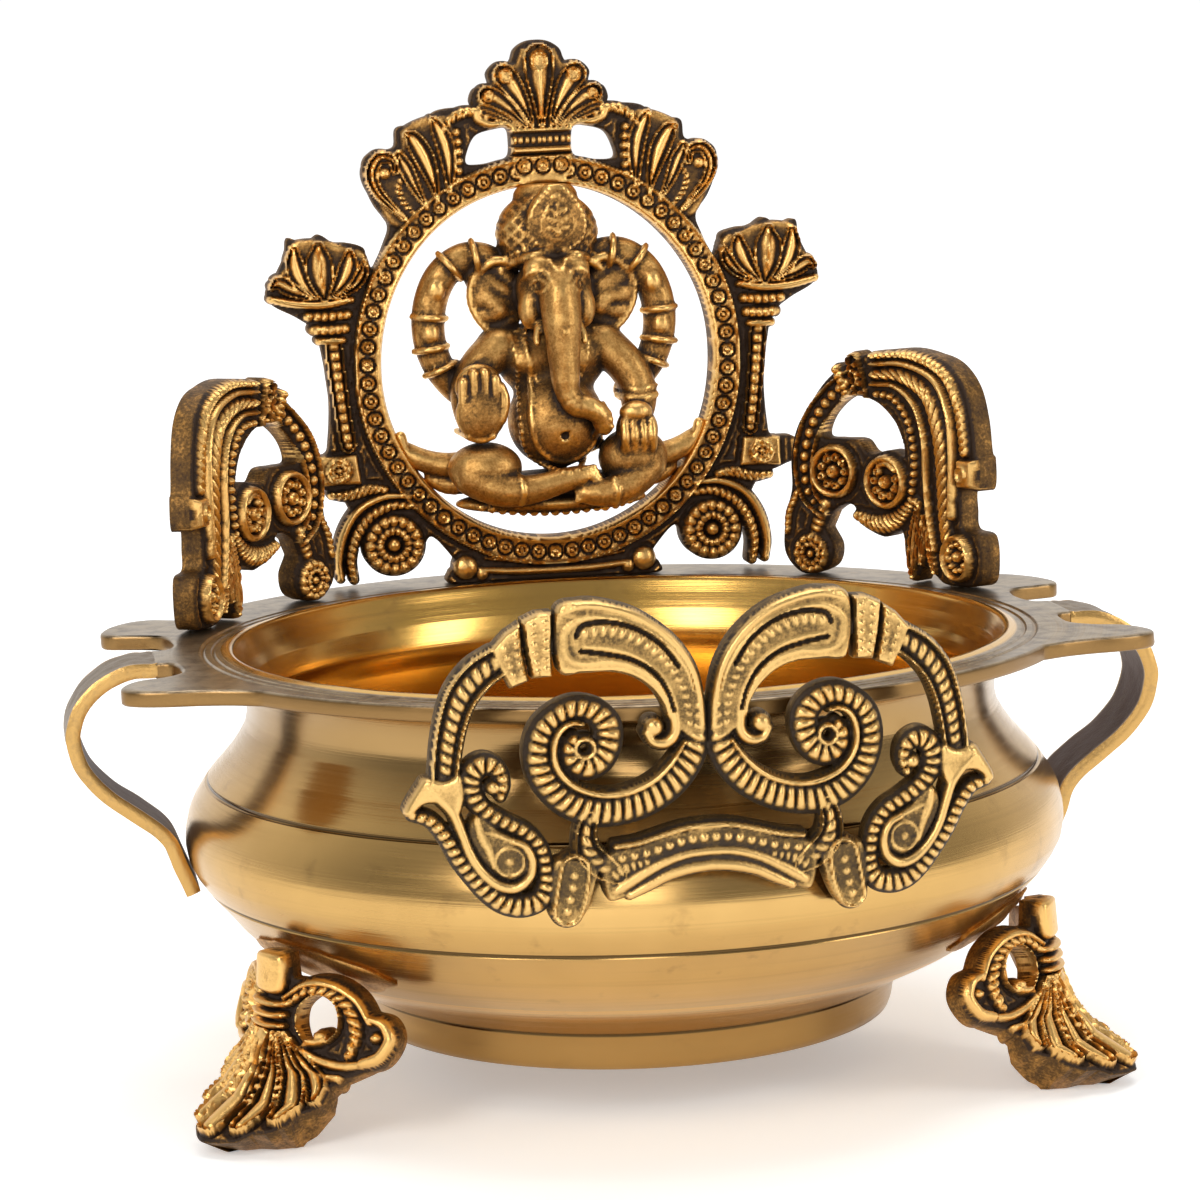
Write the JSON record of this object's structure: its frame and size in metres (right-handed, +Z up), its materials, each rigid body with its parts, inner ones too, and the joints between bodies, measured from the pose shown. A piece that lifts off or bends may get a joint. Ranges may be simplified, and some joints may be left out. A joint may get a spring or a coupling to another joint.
{
  "type": "urli bowl",
  "caption": "Turned brass urli bowl on three cast legs, with strap handles, a scroll plate in front and a seated elephant-headed figure in a ring at the back.",
  "frame": {"origin": "on the ground, under the middle of the object's footprint; the bowl's own axis is 7.1 mm towards the front", "axes": "+X to the object's right seen from the front, across the two handles; -Y to the front, where the scroll plate stands; +Z up"},
  "size_m": [0.2552, 0.2269, 0.2363],
  "materials": {
    "polished_brass": "turned and polished, with fine lathe lines",
    "antique_brass": "cast, with dark patina in the recesses and burnished high points",
    "cast_brass": "cast and lightly polished, dark lines in the grooves",
    "steel": "plain zinc-plated screws"
  },
  "bodies": {
    "root": {"bowl": "polished_brass", "handle_left": "polished_brass", "handle_right": "polished_brass", "front_plate": "cast_brass", "back_panel": "antique_brass", "wing_left": "antique_brass", "wing_right": "antique_brass", "seated_figure": "antique_brass", "leg_left": "antique_brass", "leg_right": "antique_brass", "leg_back": "antique_brass", "panel_screw_left": "steel", "panel_screw_right": "steel", "wing_screw_left": "steel", "wing_screw_right": "steel"}
  },
  "joints": []
}
